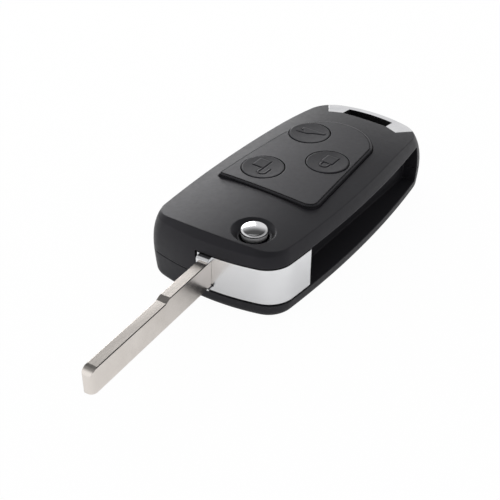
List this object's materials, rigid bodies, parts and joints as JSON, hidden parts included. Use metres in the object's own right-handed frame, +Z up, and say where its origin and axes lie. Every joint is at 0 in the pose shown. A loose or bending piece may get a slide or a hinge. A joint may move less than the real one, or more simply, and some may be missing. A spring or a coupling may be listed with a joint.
{
  "type": "folding key fob shell",
  "caption": "Folding key fob shell: plastic case with round keys, a metal pivot head, a fold-out blade, a release button and a key ring loop.",
  "frame": {"origin": "middle of the flat back that the case rests on", "axes": "+Z up from the back to the keys, -Y towards the blade end, +X towards the open side that the blade folds into"},
  "size_m": [0.0386, 0.1211, 0.0192],
  "materials": {
    "case_plastic": "fine matte, soft sheen",
    "keypad_plastic": "soft touch",
    "key_plastic": "soft touch",
    "tray_plastic": "plain moulded",
    "mat_rubber": "moulded",
    "contact_metal": "bright",
    "loop_chrome": "polished",
    "button_chrome": "polished",
    "head_metal": "satin",
    "blade_steel": "fine brushed",
    "pin_steel": "plain"
  },
  "bodies": {
    "case": {"top_cover": "case_plastic", "bottom_cover": "case_plastic", "keypad_panel": "keypad_plastic", "switch_mat": "mat_rubber", "board_tray": "tray_plastic", "lower_contact": "contact_metal", "side_contact": "contact_metal", "chip_holder": "tray_plastic", "keyring_loop": "loop_chrome", "loop_pins": "pin_steel", "case_screws": "pin_steel", "thrust_washer": "tray_plastic"},
    "head": {"pivot_head": "head_metal", "hub_sleeve": "head_metal", "key_blade": "blade_steel", "blade_pin": "pin_steel", "hinge_spring": "pin_steel"},
    "release": {"release_cap": "button_chrome", "release_plunger": "tray_plastic"},
    "lock_button": {"lock_key": "key_plastic"},
    "unlock_button": {"unlock_key": "key_plastic"},
    "boot_button": {"boot_key": "key_plastic"}
  },
  "joints": [
    {"name": "blade_fold", "type": "hinge", "parent": "case", "child": "head", "pos_m": [0.0074, -0.03, 0.009], "axis": [0, 0, 1], "range_deg": [0, 176]},
    {"name": "release_press", "type": "slide", "parent": "head", "child": "release", "axis": [0, 0, -1], "range_m": [0, 0.002], "stiffness_N_per_m": 800, "springref_m": -0.002, "deforming": ["hinge_spring"]},
    {"name": "lock_press", "type": "slide", "parent": "case", "child": "lock_button", "axis": [0, 0, -1], "range_m": [0, 0.0006], "stiffness_N_per_m": 2500, "springref_m": -0.0003},
    {"name": "unlock_press", "type": "slide", "parent": "case", "child": "unlock_button", "axis": [0, 0, -1], "range_m": [0, 0.0006], "stiffness_N_per_m": 2500, "springref_m": -0.0003},
    {"name": "boot_press", "type": "slide", "parent": "case", "child": "boot_button", "axis": [0, 0, -1], "range_m": [0, 0.0006], "stiffness_N_per_m": 2500, "springref_m": -0.0003}
  ]
}
